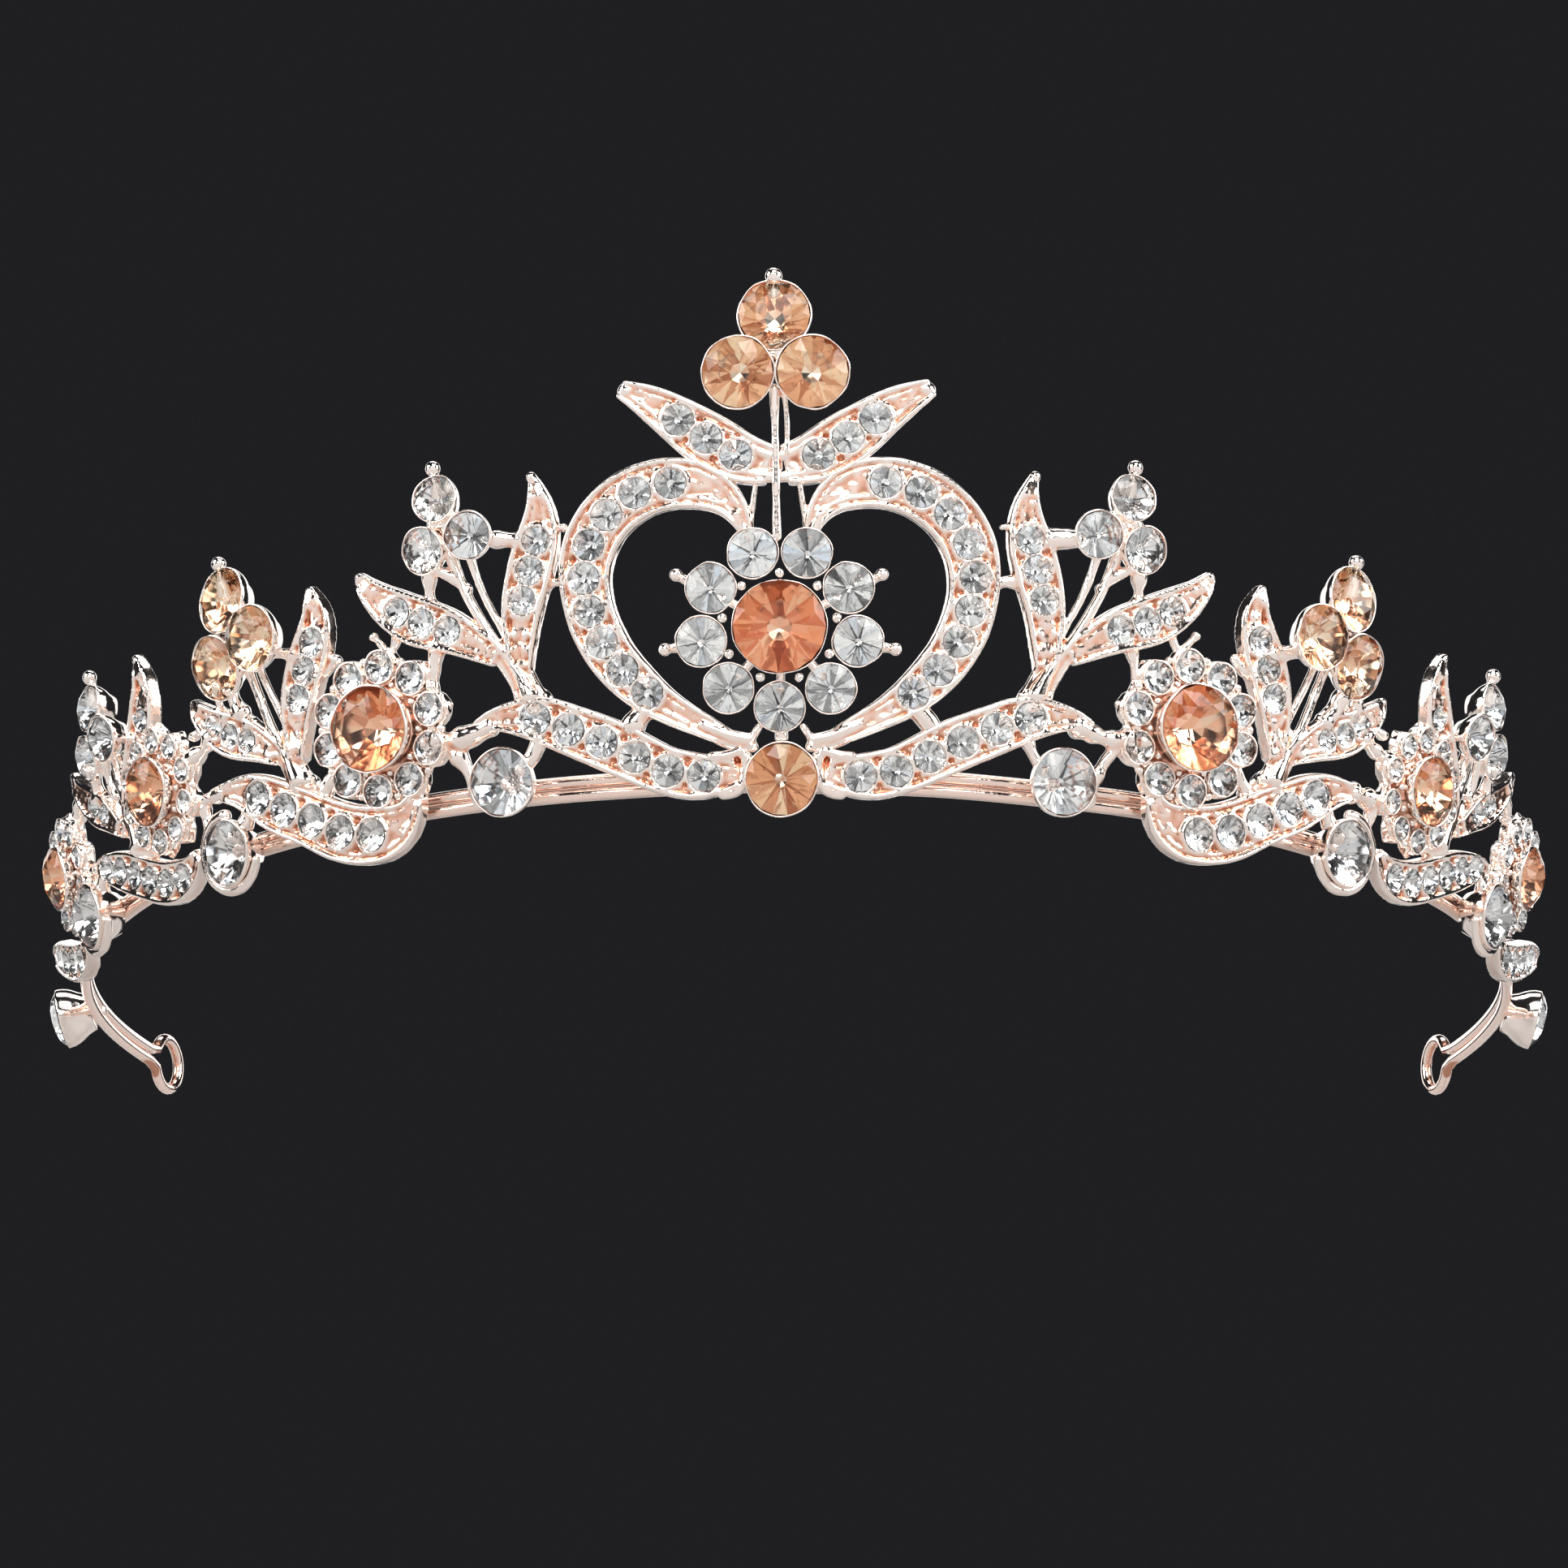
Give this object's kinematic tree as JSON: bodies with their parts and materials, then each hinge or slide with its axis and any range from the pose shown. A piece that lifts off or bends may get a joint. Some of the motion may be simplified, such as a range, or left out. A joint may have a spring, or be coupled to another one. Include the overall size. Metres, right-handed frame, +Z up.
{
  "type": "bridal tiara",
  "caption": "Rose-gold tiara with a heart and flower centre, leafy sprays, berry clusters and round cut stones, soldered to a wire band with end loops.",
  "frame": {"origin": "middle of the tiara's footprint, on the surface that it stands on", "axes": "+Z up; the front faces -Y; +X to the viewer's right when the front faces the viewer"},
  "size_m": [0.1552, 0.1142, 0.0482],
  "materials": {
    "rose_gold": "bright polished rose gold plating",
    "band_metal": "bright drawn wire, rose gold plated",
    "solder": "rough plated solder",
    "clear_stone": "clear cut stone with foil back",
    "champagne_stone": "champagne cut stone with foil back",
    "peach_stone": "peach cut stone with foil back"
  },
  "bodies": {
    "root": {"heart_scroll_left": "rose_gold", "heart_scroll_right": "rose_gold", "crest_leaf_left": "rose_gold", "crest_leaf_right": "rose_gold", "ribbon_1_left": "rose_gold", "ribbon_1_right": "rose_gold", "ribbon_2_left": "rose_gold", "ribbon_2_right": "rose_gold", "ribbon_3_left": "rose_gold", "ribbon_3_right": "rose_gold", "ribbon_4_left": "rose_gold", "ribbon_4_right": "rose_gold", "spray_1_left": "rose_gold", "spray_1_right": "rose_gold", "spray_2_left": "rose_gold", "spray_2_right": "rose_gold", "spray_3_left": "rose_gold", "spray_3_right": "rose_gold", "berry_cups_1_left": "rose_gold", "berry_cups_1_right": "rose_gold", "berry_cups_2_left": "rose_gold", "berry_cups_2_right": "rose_gold", "berry_cups_3_left": "rose_gold", "berry_cups_3_right": "rose_gold", "rosette_1_left": "rose_gold", "rosette_1_right": "rose_gold", "rosette_2_left": "rose_gold", "rosette_2_right": "rose_gold", "rosette_3_left": "rose_gold", "rosette_3_right": "rose_gold", "drop_cup_1_left": "rose_gold", "drop_cup_1_right": "rose_gold", "drop_cup_2_left": "rose_gold", "drop_cup_2_right": "rose_gold", "drop_cup_3_left": "rose_gold", "drop_cup_3_right": "rose_gold", "drop_cup_4_left": "rose_gold", "drop_cup_4_right": "rose_gold", "crest_stem": "rose_gold", "crest_berry_cups": "rose_gold", "centre_flower_frame": "rose_gold", "base_cup": "rose_gold", "band_wire": "band_metal", "solder_joints": "solder", "heart_pave_stones": "clear_stone", "crest_leaf_stones": "clear_stone", "flower_petal_stones": "clear_stone", "ribbon_stones": "clear_stone", "leaf_stones": "clear_stone", "rosette_petal_stones": "clear_stone", "berry_stones_clear": "clear_stone", "drop_stones": "clear_stone", "crest_berry_stones": "champagne_stone", "berry_stones_champagne": "champagne_stone", "base_stone": "champagne_stone", "flower_centre_stone": "peach_stone", "rosette_centre_stones": "peach_stone"}
  },
  "joints": []
}
